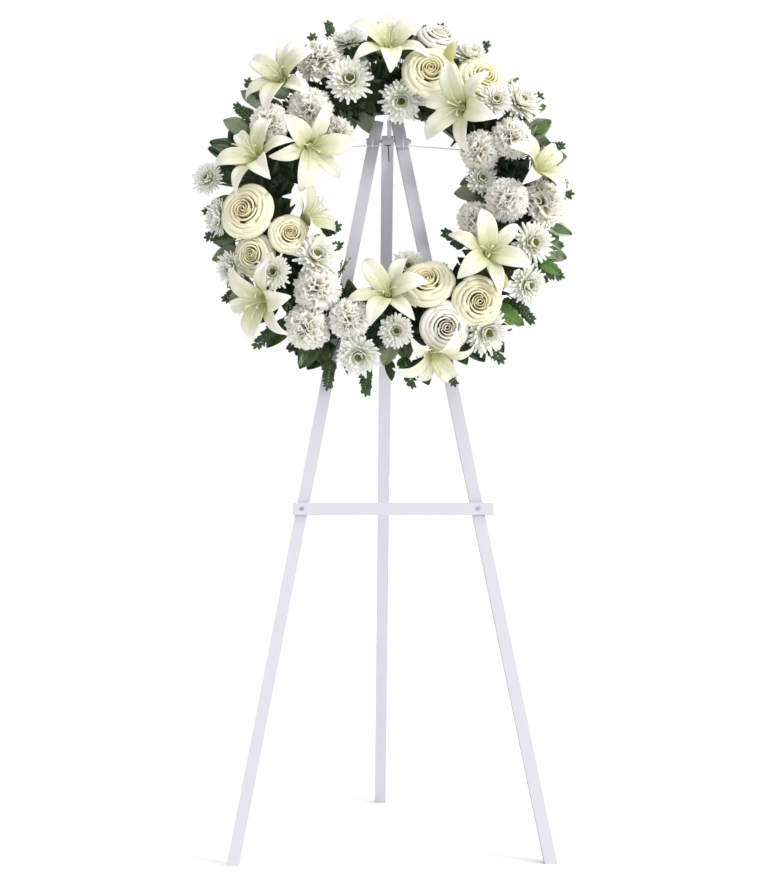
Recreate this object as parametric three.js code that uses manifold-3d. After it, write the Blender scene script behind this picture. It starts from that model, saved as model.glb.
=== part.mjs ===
// A funeral wreath on its folding wooden easel: millimetres, +Z up, viewer towards -Y.
import * as THREE from 'three';
import { mergeVertices } from 'three/addons/utils/BufferGeometryUtils.js';
import Module from 'manifold-3d';

const wasm = await Module();
wasm.setup();

// ---- driving dimensions, in mm and degrees ----
const gap = 0.3;                 // clearance between pieces that touch
const lathLength = 1219;         // a 48 in easel lath
const lathSide = 19;
const lean = 10;                 // front legs lean back from the vertical
const footSpread = 494;          // front feet, centre to centre
const topSpread = 32;            // front leg tops, centre to centre
const pivotDrop = 32;            // pivot below the leg tops, along the lean
const boltRadius = 3;
const tongueWide = 6.5;          // rear leg's narrow top end, between the front leg tops
const tongueRise = 34;           // above the pivot
const barLength = 319;           // crossbar
const barHeight = 19;
const barThick = 8;
const barRise = 555;             // crossbar above the feet, along the lean
const barShift = 5;              // crossbar stands out a little more on the right
const hookRise = 1150;           // screw hooks above the feet, along the lean
const hookWire = 1.5;            // hook wire radius
const hangerWire = 0.9;          // hanging wire radius
const ringRise = 1048;           // wreath centre above the feet, along the lean
const coreRadius = 195;          // middle of the foam ring
const foamWidth = 66;
const foamDepth = 50;
const trayWall = 2;
const trayDepth = 14;
const ringSides = 32;
const stemInset = 14;            // stem ends stop this far from the foam's middle line

const rad = THREE.MathUtils.degToRad;
const vec = (x, y, z) => new THREE.Vector3(x, y, z);

// ---- finishes ----
const finish = (color, roughness, metalness = 0) =>
  new THREE.MeshStandardMaterial({ color, roughness, metalness });
const finishes = {
  paint: () => finish(0xe9e9f0, 0.55),
  zinc: () => finish(0xb9bcc0, 0.4, 0.9),
  wire: () => finish(0x2c3a26, 0.5, 0.4),
  foam: () => finish(0x2f4a2a, 0.95),
  tray: () => finish(0x1f2a1c, 0.6),
  lily: () => finish(0xf2efdc, 0.55),
  rose: () => finish(0xf3ecc4, 0.6),
  carnation: () => finish(0xf1ebdc, 0.75),
  mum: () => finish(0xf4f4ee, 0.65),
  salal: () => finish(0x2c4a1e, 0.45),
  sage: () => finish(0x86917a, 0.8)
};

// ---- closed geometry to solid, and back ----
function solidOf(geometry) {
  geometry.deleteAttribute('normal');
  geometry.deleteAttribute('uv');
  const merged = mergeVertices(geometry, 1e-3);
  const corners = Array.from(merged.index.array);
  const kept = [];
  for (let i = 0; i < corners.length; i += 3) {
    const [a, b, c] = corners.slice(i, i + 3);
    if (a !== b && b !== c && c !== a) kept.push(a, b, c);
  }
  const build = (order) => new wasm.Manifold(new wasm.Mesh({
    numProp: 3,
    vertProperties: new Float32Array(merged.attributes.position.array),
    triVerts: new Uint32Array(order)
  }));
  const solid = build(kept);
  return solid.volume() < 0 ? build(kept.reverse()) : solid;
}

function geometryOf(solid) {
  const mesh = solid.getMesh();
  const geometry = new THREE.BufferGeometry();
  geometry.setAttribute('position', new THREE.BufferAttribute(mesh.vertProperties, 3));
  geometry.setIndex(new THREE.BufferAttribute(mesh.triVerts, 1));
  geometry.computeVertexNormals();
  return geometry;
}

const moved = (solid, matrix) => solid.transform(matrix.elements);
const joined = (solids) => solids.reduce((all, one) => all.add(one));
const lessAll = (solid, cutters) => cutters.reduce((rest, cutter) => rest.subtract(cutter), solid);

function biggestBody(solid) {
  return solid.decompose().sort((a, b) => b.volume() - a.volume())[0];
}

// A matrix that carries +Y onto a direction, with +X kept square to a second one
function seatMatrix(position, axis, spin = 0, up = vec(0, 1, 0)) {
  const side = up.clone().cross(axis);
  if (side.length() < 1e-6) side.set(1, 0, 0);
  side.normalize();
  const basis = new THREE.Matrix4().makeBasis(side, axis, side.clone().cross(axis));
  return basis.multiply(new THREE.Matrix4().makeRotationY(rad(spin))).setPosition(position);
}

// ---- plain shapes ----
const block = (x, y, z) => solidOf(new THREE.BoxGeometry(x, y, z));

// a rod with its axis from one point to another
function rod(from, to, radius, sides = 6, endRadius = radius) {
  const along = to.clone().sub(from);
  const solid = solidOf(new THREE.CylinderGeometry(endRadius, radius, along.length(), sides));
  const middle = from.clone().add(to).multiplyScalar(0.5);
  return moved(solid, seatMatrix(middle, along.normalize()));
}

// a round wire or stem along a curve
function swept(curve, radius, steps, sides = 6) {
  const section = new THREE.Shape(new THREE.EllipseCurve(0, 0, radius, radius).getPoints(sides).slice(0, -1));
  return solidOf(new THREE.ExtrudeGeometry(section, { steps, extrudePath: curve, bevelEnabled: false }));
}

// a turned shape about +Y; every other side can be drawn in to make lobes
function turned(profile, sides, lobe = () => 1) {
  const geometry = new THREE.LatheGeometry(profile.map(([r, y]) => new THREE.Vector2(r, y)), sides);
  const place = geometry.attributes.position;
  for (let i = 0; i < place.count; i += 1) {
    const side = Math.floor(i / profile.length) % sides;
    const share = lobe(side, i % profile.length);
    place.setXYZ(i, place.getX(i) * share, place.getY(i), place.getZ(i) * share);
  }
  return solidOf(geometry);
}

// A petal or leaf: a thin blade of diamond section whose middle follows a flat curve in (out, up).
function blade({ middle, width, thick, cup = 0, rows = 3, outline, grow = 0 }) {
  const geometry = new THREE.CylinderGeometry(1, 1, 1, 4, rows);
  const place = geometry.attributes.position;
  for (let i = 0; i < place.count; i += 1) {
    const t = place.getY(i) + 0.5;
    const across = place.getX(i);
    const lift = place.getZ(i);
    const half = (width / 2) * outline(t) + 2 * grow;
    const at = middle.getPoint(t);
    const along = middle.getTangent(t);
    const up = lift * (thick / 2 + grow) + Math.abs(across) * half * cup;
    const end = (t - 0.5) * 2 * grow;
    place.setXYZ(i, at.x + along.x * end - along.y * up, at.y + along.y * end + along.x * up, across * half);
  }
  return solidOf(geometry);
}

// ---- flower heads: base at the origin, facing +Y, sizes as a share of the width across ----
// Each head has a small flat six-sided eye that faces where the flower faces; a leaf spray's faces the viewer.
const headForms = {
  lily: { eye: 0.022, eyeHeight: 0.36, middle: 0.15, stem: 2.6, build: lilyHead },
  rose: { eye: 0.05, eyeHeight: 0.66, middle: 0.40, stem: 2.5, build: roseHead },
  carnation: { eye: 0.05, eyeHeight: 0.76, middle: 0.52, stem: 2.2, build: carnationHead },
  mum: { eye: 0.09, eyeHeight: 0.27, middle: 0.17, stem: 2, build: mumHead },
  bud: { eye: 0.1, eyeHeight: 1.02, middle: 0.5, stem: 2, build: budHead },
  spray: { eye: 0.04, eyeHeight: 0.1, middle: 0, stem: 1.8, up: vec(0, 0, 1), build: leafSprayHead }
};

function eyeStud(form, size, height, grow) {
  const radius = form.eye * size + grow;
  return rod(vec(0, height * size, 0), vec(0, form.eyeHeight * size + grow, 0), radius);
}

const petalOutline = (t) => Math.sin(Math.PI * (0.08 + 0.88 * t));

function lilyHead(size, grow) {
  const scale = size / 136;
  const petal = (width, points) => blade({
    middle: new THREE.SplineCurve(points.map(([out, up]) => new THREE.Vector2(out * scale, up * scale))),
    width: width * scale,
    thick: 2.4,
    cup: 0.25,
    outline: petalOutline,
    grow
  });
  const parts = [
    rod(vec(0, -grow, 0), vec(0, 21 * scale, 0), 3 + grow, 6, 14 * scale + grow),
    rod(vec(0, 18 * scale, 0), vec(0, 47 * scale, 0), 1.3 + grow, 4),
    eyeStud(headForms.lily, size, 0.34, grow)
  ];
  for (let i = 0; i < 6; i += 1) {
    const one = i % 2 ? petal(25, [[9, 14], [20, 22], [42, 31], [67, 28]])
      : petal(35, [[9, 16], [19, 29], [42, 39], [67, 36]]);
    parts.push(moved(one, new THREE.Matrix4().makeRotationY(rad(60 * i))));
  }
  return joined(parts);
}

function roseHead(size, grow) {
  const profile = [[0, 0], [0.1, 0], [0.4, 0.24], [0.5, 0.44], [0.43, 0.5], [0.34, 0.49], [0.3, 0.6],
    [0.12, 0.63], [0, 0.63]];
  return turned(grown(profile, size, grow), 8).add(eyeStud(headForms.rose, size, 0.5, grow));
}

function carnationHead(size, grow) {
  const profile = [[0, 0], [0.06, 0], [0.09, 0.28], [0.5, 0.48], [0.43, 0.63], [0.2, 0.73], [0, 0.73]];
  const ruffle = (side, row) => (row === 3 || row === 4) && side % 2 ? 0.87 : 1;
  return turned(grown(profile, size, grow), 12, ruffle).add(eyeStud(headForms.carnation, size, 0.6, grow));
}

function mumHead(size, grow) {
  const profile = [[0, 0], [0.12, 0], [0.5, 0.2], [0.22, 0.24], [0, 0.24]];
  const petals = (side, row) => (row === 2 && side % 2 ? 0.76 : 1);
  return turned(grown(profile, size, grow), 18, petals).add(eyeStud(headForms.mum, size, 0.12, grow));
}

function budHead(size, grow) {
  const profile = [[0, 0], [0.1, 0], [0.22, 0.3], [0.19, 0.65], [0.08, 0.98], [0, 0.98]];
  return turned(grown(profile, size, grow), 6).add(eyeStud(headForms.bud, size, 0.8, grow));
}

// scales a profile given in shares and moves it outwards by the growth: down below the widest row, up above
function grown(profile, size, grow) {
  const widest = profile.reduce((best, [r], row) => (r > profile[best][0] ? row : best), 0);
  return profile.map(([r, y], row) => [r * size + (r ? grow : 0), y * size + Math.sign(row - widest) * grow]);
}

// ---- foliage: three leaves fanned from the end of a short stem along +Y, their faces to -Z ----
const leafOutline = (t) => Math.sin(Math.PI * (0.03 + 0.93 * t));
const leafFan = [-48, 0, 48];
const leafStand = new THREE.Matrix4().makeBasis(vec(0, 1, 0), vec(0, 0, -1), vec(-1, 0, 0));

function leafSprayHead(size, grow) {
  const leaf = (share) => blade({
    middle: new THREE.SplineCurve([[2, 0], [0.35 * size * share, 4], [0.7 * size * share, 3], [size * share, -4]]
      .map(([out, up]) => new THREE.Vector2(out, up))),
    width: 0.62 * size * share,
    thick: 1.6,
    cup: 0.15,
    rows: 3,
    outline: leafOutline,
    grow
  });
  const leaves = leafFan.map((turn) =>
    moved(leaf(turn ? 0.9 : 1), new THREE.Matrix4().makeRotationZ(rad(turn)).multiply(leafStand)));
  const knot = rod(vec(0, -4 - grow, 0), vec(0, 4, 0), 2.5 + grow);
  const stud = rod(vec(0, 0, 0), vec(0, 0, -headForms.spray.eyeHeight * size - grow),
    headForms.spray.eye * size + grow);
  return joined([knot, ...leaves, stud]);
}

// ---- the arrangement ----
// at: clock angle round the ring in degrees; reach: from the ring's centre; proud: in front of its back;
// out and around: how far the head faces away from the centre and clockwise; size: across the open flower.
const bloom = (at, reach, proud, out, around, size, spin = 0) => ({ at, reach, proud, out, around, size, spin });
const bud = (...place) => ({ ...bloom(...place), form: headForms.bud });
const arrangement = [
  ['lily_1', 'lily', [bloom(318, 260, 86, 30, -12, 132, 25)]],
  ['lily_2', 'lily', [bloom(0, 248, 92, 27, 2, 136, 33)]],
  ['lily_3', 'lily', [bloom(39, 176, 112, -28, -22, 140, 39), bud(23, 250, 100, 40, 0, 46)]],
  ['lily_4', 'lily', [bloom(285, 222, 104, 36, 14, 136, 13)]],
  ['lily_5', 'lily', [bloom(301, 146, 96, -30, -11, 138, 19)]],
  ['lily_6', 'lily', [bloom(256, 134, 66, -62, 10, 128, 44)]],
  ['lily_7', 'lily', [bloom(230, 266, 78, 48, 10, 136, 58)]],
  ['lily_8', 'lily', [bloom(182, 160, 90, -16, 14, 130, 10)]],
  ['lily_9', 'lily', [bloom(123, 184, 110, 4, -6, 132, 40), bud(129, 228, 100, 40, 30, 42)]],
  ['lily_10', 'lily', [bloom(79, 242, 84, 45, -20, 130, 43)]],
  ['lily_11', 'lily', [bloom(165, 266, 66, 66, 5, 132, 31)]],
  ['rose_1', 'rose', [bloom(18, 211, 98, 8, 0, 76)]],
  ['rose_2', 'rose', [bloom(38, 246, 82, 25, 5, 72)]],
  ['rose_3', 'rose', [bloom(17, 284, 62, 45, 0, 62)]],
  ['rose_4', 'rose', [bloom(263, 230, 88, 22, 5, 76)]],
  ['rose_5', 'rose', [bloom(247, 173, 96, -10, 0, 56)]],
  ['rose_6', 'rose', [bloom(246, 237, 74, 30, 0, 60)]],
  ['rose_7', 'rose', [bloom(158, 154, 84, -22, 0, 74)]],
  ['rose_8', 'rose', [bloom(158, 231, 84, 20, 0, 68)]],
  ['rose_9', 'rose', [bloom(142, 223, 94, 15, 0, 68)]],
  ['carnation_1', 'carnation', [bloom(318, 188, 98, -5, 0, 80)]],
  ['carnation_2', 'carnation', [bloom(335, 270, 66, 45, 0, 84)]],
  ['carnation_3', 'carnation', [bloom(64, 222, 96, 15, 0, 74)]],
  ['carnation_4', 'carnation', [bloom(92, 187, 98, 0, 0, 76)]],
  ['carnation_5', 'carnation', [bloom(217, 192, 98, 0, 0, 80)]],
  ['carnation_6', 'carnation', [bloom(212, 260, 70, 45, 0, 80)]],
  ['carnation_7', 'carnation', [bloom(198, 215, 92, 15, 0, 72)]],
  ['carnation_8', 'carnation', [bloom(91, 262, 62, 50, 0, 84)]],
  ['carnation_9', 'carnation', [bloom(102, 128, 58, -50, 0, 62)]],
  ['carnation_10', 'carnation', [bloom(62, 156, 82, -35, 0, 72)]],
  ['carnation_11', 'carnation', [bloom(302, 230, 98, 18, 0, 68)]],
  ['carnation_12', 'carnation', [bloom(323, 130, 66, -35, 0, 60)]],
  ['mum_1', 'mum', [bloom(341, 197, 98, 0, 0, 80), bloom(346, 276, 56, 50, 0, 64)]],
  ['mum_2', 'mum', [bloom(7, 160, 74, -25, 0, 72)]],
  ['mum_3', 'mum', [bloom(29, 276, 62, 40, 0, 70)]],
  ['mum_4', 'mum', [bloom(53, 266, 70, 35, 0, 80), bloom(48, 228, 100, 10, 0, 58)]],
  ['mum_5', 'mum', [bloom(229, 155, 92, -20, 0, 78), bloom(235, 226, 96, 10, 0, 60)]],
  ['mum_6', 'mum', [bloom(246, 278, 52, 55, 0, 60), bloom(264, 276, 52, 62, 0, 66)]],
  ['mum_7', 'mum', [bloom(109, 240, 84, 22, 0, 74), bloom(123, 262, 68, 35, 0, 68)]],
  ['mum_8', 'mum', [bloom(145, 268, 66, 30, 0, 76)]],
  ['mum_9', 'mum', [bloom(191, 262, 64, 35, 0, 72), bloom(178, 222, 84, 12, 0, 58)]],
  ['salal_spray_1', 'spray', [bloom(290, 250, 22, 84, 0, 58)]],
  ['salal_spray_2', 'spray', [bloom(208, 250, 22, 80, 0, 56)]],
  ['salal_spray_3', 'spray', [bloom(143, 252, 22, 80, 0, 52)]],
  ['salal_spray_4', 'spray', [bloom(356, 252, 22, 80, 0, 52)]],
  ['sage_spray_1', 'spray', [bloom(62, 250, 22, 80, 0, 52)]],
  ['sage_spray_2', 'spray', [bloom(107, 250, 22, 80, 0, 50)]]
];

const coreHeight = gap + trayWall + foamDepth / 2;
const ringPoint = (at, reach, proud) => vec(reach * Math.sin(rad(at)), reach * Math.cos(rad(at)), proud);

// the straight line of a stem from the foam and the seat of the head on its end
function seatOf({ at, reach, proud, out, around, size, spin, form }) {
  const outward = ringPoint(at, 1, 0);
  const clockwise = ringPoint(at + 90, 1, 0);
  const facing = vec(0, 0, 1).addScaledVector(outward, Math.tan(rad(out)))
    .addScaledVector(clockwise, Math.tan(rad(around))).normalize();
  const base = ringPoint(at, reach, proud).addScaledVector(facing, -form.middle * size);
  const core = vec(base.x, base.y, 0).setLength(coreRadius).setZ(coreHeight);
  const tip = core.clone().addScaledVector(base.clone().sub(core).normalize(), stemInset);
  return { form, facing, base, tip, size, matrix: seatMatrix(base, facing, spin, form.up) };
}

function stemSolid(seat, tip, grow) {
  const back = seat.base.clone().sub(tip);
  const bend = seat.base.clone().addScaledVector(seat.facing, -0.4 * back.length());
  const end = seat.base.clone().addScaledVector(seat.facing, 2);
  const start = tip.clone().addScaledVector(bend.clone().sub(tip).normalize(), -grow);
  return swept(new THREE.QuadraticBezierCurve3(start, bend, end), seat.form.stem + grow, 2, 5);
}

function pieceOf([name, kind, blooms]) {
  const seats = blooms.map((one) => seatOf({ form: headForms[kind], ...one }));
  const tip = seats.reduce((sum, seat) => sum.add(seat.tip), vec(0, 0, 0)).divideScalar(seats.length);
  const heads = (grow) => joined(seats.map((seat) =>
    moved(seat.form.build(seat.size, grow), seat.matrix)));
  const stems = (grow) => joined(seats.map((seat) => stemSolid(seat, tip, grow)));
  return {
    name, kind, matrix: seats[0].matrix,
    head: heads(0), stem: stems(0), headRoom: heads(gap), stemRoom: stems(gap)
  };
}

function boxesMeet(a, b) {
  const p = a.boundingBox();
  const q = b.boundingBox();
  return [0, 1, 2].every((i) => p.min[i] < q.max[i] && q.min[i] < p.max[i]);
}

// ---- ring and tray: turned about the wreath's own axis, +Z towards the viewer ----
function ringSolid(profile, grow = 0) {
  const closed = [...profile, profile[0]].map(([r, z]) => {
    const inward = r < coreRadius ? -grow : grow;
    return new THREE.Vector2(r + inward, z + (z < coreHeight ? -grow : grow));
  });
  return solidOf(new THREE.LatheGeometry(closed, ringSides).rotateX(Math.PI / 2));
}

function foamSolid(grow) {
  const back = trayWall + gap;
  const half = foamWidth / 2;
  const front = back + foamDepth;
  const inner = coreRadius - half;
  const outer = coreRadius + half;
  return ringSolid([[inner, back], [outer, back], [outer, front - 18], [outer - 8, front - 5], [outer - 20, front],
    [inner + 20, front], [inner + 8, front - 5], [inner, front - 18]], grow);
}

function traySolid(grow) {
  const inner = coreRadius - foamWidth / 2 - gap;
  const outer = coreRadius + foamWidth / 2 + gap;
  return ringSolid([[inner - trayWall, 0], [outer + trayWall, 0], [outer + trayWall, trayDepth], [outer, trayDepth],
    [outer, trayWall], [inner, trayWall], [inner, trayDepth], [inner - trayWall, trayDepth]], grow);
}

// ---- hanging wire: a chord behind the ring's opening, over both hooks, with a twisted tail ----
const hookHeight = hookRise - ringRise;
const legSlope = (footSpread - topSpread) / 2;
const legRise = Math.sqrt(lathLength ** 2 - legSlope ** 2);
const legCentre = (rise) => footSpread / 2 - (legSlope * rise) / legRise;

function hangerSolid(grow) {
  const over = hookHeight + hookWire + gap + hangerWire;
  const side = legCentre(hookRise);
  const depth = 7;
  const end = ringPoint(57, coreRadius - 20, depth);
  const chord = [vec(-end.x, end.y, depth), vec(-85, over - 4, depth), vec(-side, over, depth),
    vec(side, over, depth), vec(85, over - 4, depth), end];
  const tail = new THREE.LineCurve3(vec(0.5, over, depth), vec(1.5, over - 27, depth + 1));
  return swept(new THREE.CatmullRomCurve3(chord), hangerWire + grow, 12)
    .add(swept(tail, hangerWire + 0.1 + grow, 2));
}

// ---- scene graph ----
const group = new THREE.Group();
const front = new THREE.Group();          // leans back with the front legs; +Z runs up the legs
front.rotation.x = -rad(lean);
const wreath = new THREE.Group();         // ring's own frame: +Y to twelve o'clock, +Z to the viewer
wreath.position.set(0, -lathSide / 2 - gap, ringRise);
wreath.rotation.x = Math.PI / 2;
front.add(wreath);
group.add(front);

function addPiece(parent, name, solid, material, matrix = new THREE.Matrix4()) {
  const mesh = new THREE.Mesh(geometryOf(moved(solid, matrix.clone().invert())), material);
  mesh.name = name;
  matrix.decompose(mesh.position, mesh.quaternion, mesh.scale);
  parent.add(mesh);
}

// ---- easel ----
const leanTurn = new THREE.Matrix4().makeRotationX(-rad(lean));
const pivotRise = legRise - pivotDrop;
const pivot = vec(0, 0, pivotRise).applyMatrix4(leanTurn);
const groundSlab = block(2 * lathLength, 2 * lathLength, 80).translate([0, 0, -40]);
const ground = (frameTurn) => moved(groundSlab, frameTurn.clone().invert());

function frontLeg(side) {
  const spare = 30;
  const foot = vec((side * footSpread) / 2, 0, 0);
  const up = vec(-side * legSlope, 0, legRise).normalize();
  const middle = foot.clone().addScaledVector(up, (lathLength - spare) / 2);
  const turn = new THREE.Matrix4().makeBasis(up.clone().cross(vec(0, 1, 0)).negate(), vec(0, 1, 0), up);
  const lath = moved(block(lathSide, lathSide, lathLength + spare), turn.setPosition(middle));
  const hookX = side * legCentre(hookRise);
  const barX = side * legCentre(barRise);
  const face = legCentre(pivotRise) + lathSide / 2;
  return lessAll(lath, [
    ground(leanTurn),
    rod(vec(-80, 0, pivotRise), vec(80, 0, pivotRise), boltRadius + gap, 10),
    rod(vec(side * (face - 1.5), 0, pivotRise), vec(side * 80, 0, pivotRise), 8, 10),
    rod(vec(hookX, 5, hookRise), vec(hookX, -20, hookRise), hookWire + gap),
    rod(vec(barX, 6, barRise), vec(barX, -20, barRise), 1.6 + gap)
  ]);
}

function rearLeg() {
  const topOver = lathSide / 2;
  const spare = 30;
  const below = lathLength - topOver;
  const swing = Math.acos(pivot.z / below);
  const frame = new THREE.Matrix4().makeRotationX(swing).setPosition(pivot);
  const lath = moved(block(lathSide, lathSide, below + spare), new THREE.Matrix4()
    .makeTranslation(0, 0, -(below + spare) / 2));
  const crown = rod(vec(-topOver, 0, 0), vec(topOver, 0, 0), topOver, 16);
  const tongue = moved(block(tongueWide, 11, tongueRise), new THREE.Matrix4()
    .makeTranslation(tongueWide / 2 - 0.5, 0, tongueRise / 2));
  const solid = lessAll(joined([lath, crown, tongue]), [
    rod(vec(-20, 0, 0), vec(20, 0, 0), boltRadius + gap, 10),
    ground(frame)
  ]);
  return { solid, frame };
}

function crossbar() {
  const bar = moved(block(barLength, barThick, barHeight), new THREE.Matrix4()
    .makeTranslation(barShift, -lathSide / 2 - gap - barThick / 2, barRise));
  return lessAll(bar, [-1, 1].map((side) => {
    const x = side * legCentre(barRise);
    return rod(vec(x, 0, barRise), vec(x, -40, barRise), 1.6 + gap);
  }));
}

function barScrew(side) {
  const x = side * legCentre(barRise);
  const seat = -lathSide / 2 - gap - barThick - gap;
  return rod(vec(x, 4, barRise), vec(x, seat - 1, barRise), 1.6)
    .add(rod(vec(x, seat, barRise), vec(x, seat - 2.2, barRise), 3.6, 8, 2.4));
}

function screwHook(side) {
  const x = side * legCentre(hookRise);
  const face = -lathSide / 2;
  const bends = [[4, 0], [face, 0], [face - 10, 0], [face - 13.5, 3.5], [face - 14, 11]];
  const path = new THREE.CatmullRomCurve3(bends.map(([y, z]) => vec(x, y, hookRise + z)));
  return swept(path, hookWire, 8);
}

function pivotBolt() {
  const face = legCentre(pivotRise) + lathSide / 2 - 1.5 + gap;
  return rod(vec(-face - 1, 0, pivotRise), vec(face + 8, 0, pivotRise), boltRadius, 10)
    .add(rod(vec(-face, 0, pivotRise), vec(-face - 4, 0, pivotRise), 5.5));
}

function pivotNut() {
  const face = legCentre(pivotRise) + lathSide / 2 - 1.5 + gap;
  return rod(vec(face, 0, pivotRise), vec(face + 5, 0, pivotRise), 5.5)
    .subtract(rod(vec(0, 0, pivotRise), vec(face + 20, 0, pivotRise), boltRadius + gap, 10));
}

const sides = [['left', -1], ['right', 1]];
for (const [label, side] of sides) {
  addPiece(front, `front_leg_${label}`, frontLeg(side), finishes.paint());
  addPiece(front, `screw_hook_${label}`, screwHook(side), finishes.paint());
  addPiece(front, `crossbar_screw_${label}`, barScrew(side), finishes.paint());
}
addPiece(front, 'crossbar', crossbar(), finishes.paint());
addPiece(front, 'pivot_bolt', pivotBolt(), finishes.zinc());
addPiece(front, 'pivot_nut', pivotNut(), finishes.zinc());
const rear = rearLeg();
addPiece(group, 'rear_leg', moved(rear.solid, rear.frame), finishes.paint(), rear.frame);

// ---- wreath: flowers keep clear of the ring, of every other stem and of the heads named before them ----
const pieces = arrangement.map(pieceOf);
const ringRoom = foamSolid(gap).add(traySolid(gap)).add(hangerSolid(gap));

for (const [order, piece] of pieces.entries()) {
  const others = pieces.filter((one) => one !== piece).map((one) => one.stemRoom);
  const earlier = pieces.slice(0, order).map((one) => one.headRoom);
  const cutters = [ringRoom, ...others, ...earlier].filter((one) => boxesMeet(one, piece.head));
  const whole = biggestBody(lessAll(piece.head, cutters).add(piece.stem));
  const look = finishes[piece.kind] ?? finishes[piece.name.split('_')[0]];
  addPiece(wreath, piece.name, whole, look(), piece.matrix);
}

const stemHoles = pieces.map((one) => one.stemRoom);
addPiece(wreath, 'foam_ring', lessAll(foamSolid(0), [...stemHoles, hangerSolid(gap)]), finishes.foam());
addPiece(wreath, 'base_tray', lessAll(traySolid(0), [...stemHoles, hangerSolid(gap)]), finishes.tray());
addPiece(wreath, 'hanging_wire', hangerSolid(0), finishes.wire());

// origin at the middle of the box's base
const box = new THREE.Box3().setFromObject(group, true);
const middle = box.getCenter(vec(0, 0, 0));
group.position.set(-middle.x, -middle.y, -box.min.z);

export default group;
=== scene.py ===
import math
import random

import bmesh
import bpy
from mathutils import Euler, Matrix, Vector


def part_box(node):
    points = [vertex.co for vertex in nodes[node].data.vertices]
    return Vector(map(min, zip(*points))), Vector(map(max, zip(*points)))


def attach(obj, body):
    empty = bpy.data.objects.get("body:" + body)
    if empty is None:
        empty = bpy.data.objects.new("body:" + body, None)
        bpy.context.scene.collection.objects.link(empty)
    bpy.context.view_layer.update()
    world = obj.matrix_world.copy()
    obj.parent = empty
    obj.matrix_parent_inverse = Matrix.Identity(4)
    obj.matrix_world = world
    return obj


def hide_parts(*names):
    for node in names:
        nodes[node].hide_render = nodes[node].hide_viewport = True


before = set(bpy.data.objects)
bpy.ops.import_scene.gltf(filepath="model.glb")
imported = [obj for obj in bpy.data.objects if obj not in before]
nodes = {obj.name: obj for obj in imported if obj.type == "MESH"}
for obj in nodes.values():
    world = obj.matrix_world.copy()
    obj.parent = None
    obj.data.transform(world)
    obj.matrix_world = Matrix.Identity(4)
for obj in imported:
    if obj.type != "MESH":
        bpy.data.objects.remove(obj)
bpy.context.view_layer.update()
mm = 0.001
goldenTurn = math.radians(137.5)



view = {"distance": 3.5, "aside": -0.130, "height": 0.678, "aimX": -0.008, "aimZ": 0.652, "lens": 91.4}

scene = bpy.context.scene
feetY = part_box("front_leg_left")[0].y + 0.0095


def setCamera():
    camera = bpy.data.objects.new("camera", bpy.data.cameras.new("camera"))
    scene.collection.objects.link(camera)
    camera.data.lens = view["lens"]
    camera.location = (view["aside"], feetY - view["distance"], view["height"])
    aim = Vector((view["aimX"], feetY, view["aimZ"])) - camera.location
    camera.rotation_euler = aim.to_track_quat("-Z", "Y").to_euler()
    scene.camera = camera


def softLight(name, place, aim, size, power, colour=(1, 1, 1)):
    light = bpy.data.objects.new(name, bpy.data.lights.new(name, "SUN"))
    scene.collection.objects.link(light)
    light.data.angle = math.radians(size)
    light.data.energy = power
    light.data.color = colour
    light.location = place
    light.rotation_euler = (Vector(aim) - Vector(place)).to_track_quat("-Z", "Y").to_euler()


studio = {"sky": 0.42, "key": 1.7, "top": 2.3}


def setStage():
    world = bpy.data.worlds.new("studio")
    scene.world = world
    world.use_nodes = True
    tree = world.node_tree
    tree.nodes.clear()
    out = tree.nodes.new("ShaderNodeOutputWorld")
    mix = tree.nodes.new("ShaderNodeMixShader")
    path = tree.nodes.new("ShaderNodeLightPath")
    for index, strength in ((1, studio["sky"]), (2, 1.0)):
        sky = tree.nodes.new("ShaderNodeBackground")
        sky.inputs["Color"].default_value = (1, 1, 1, 1)
        sky.inputs["Strength"].default_value = strength
        tree.links.new(sky.outputs[0], mix.inputs[index])
    tree.links.new(path.outputs["Is Camera Ray"], mix.inputs[0])
    tree.links.new(mix.outputs[0], out.inputs["Surface"])
    softLight("key_light", (2.4, -2.2, 2.0), (0, -0.1, 1.0), 14, studio["key"], (1.0, 0.985, 0.95))
    softLight("top_light", (0.5, -0.3, 3.4), (0, 0, 0), 75, studio["top"])
    bm = bmesh.new()
    bmesh.ops.create_grid(bm, x_segments=2, y_segments=2, size=30)
    mesh = bpy.data.meshes.new("floor")
    bm.to_mesh(mesh)
    bm.free()
    floor = bpy.data.objects.new("floor", mesh)
    scene.collection.objects.link(floor)
    floor.data.materials.append(floorPaper())



class Value:
    def __init__(self, finish, socket):
        self.finish = finish
        self.socket = socket

    def maths(self, operation, *values, clamp=False):
        return self.finish.node("ShaderNodeMath", {"operation": operation, "use_clamp": clamp},
                                dict(enumerate(values)))

    def __add__(self, other):
        return self.maths("ADD", self, other)

    def __radd__(self, other):
        return self.maths("ADD", other, self)

    def __sub__(self, other):
        return self.maths("SUBTRACT", self, other)

    def __rsub__(self, other):
        return self.maths("SUBTRACT", other, self)

    def __mul__(self, other):
        return self.maths("MULTIPLY", self, other)

    def __rmul__(self, other):
        return self.maths("MULTIPLY", other, self)

    def __truediv__(self, other):
        return self.maths("DIVIDE", self, other)

    def __pow__(self, other):
        return self.maths("POWER", self, other)

    def clamped(self):
        return self.maths("ADD", self, 0, clamp=True)

    def absolute(self):
        return self.maths("ABSOLUTE", self)

    def sine(self):
        return self.maths("SINE", self)


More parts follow.
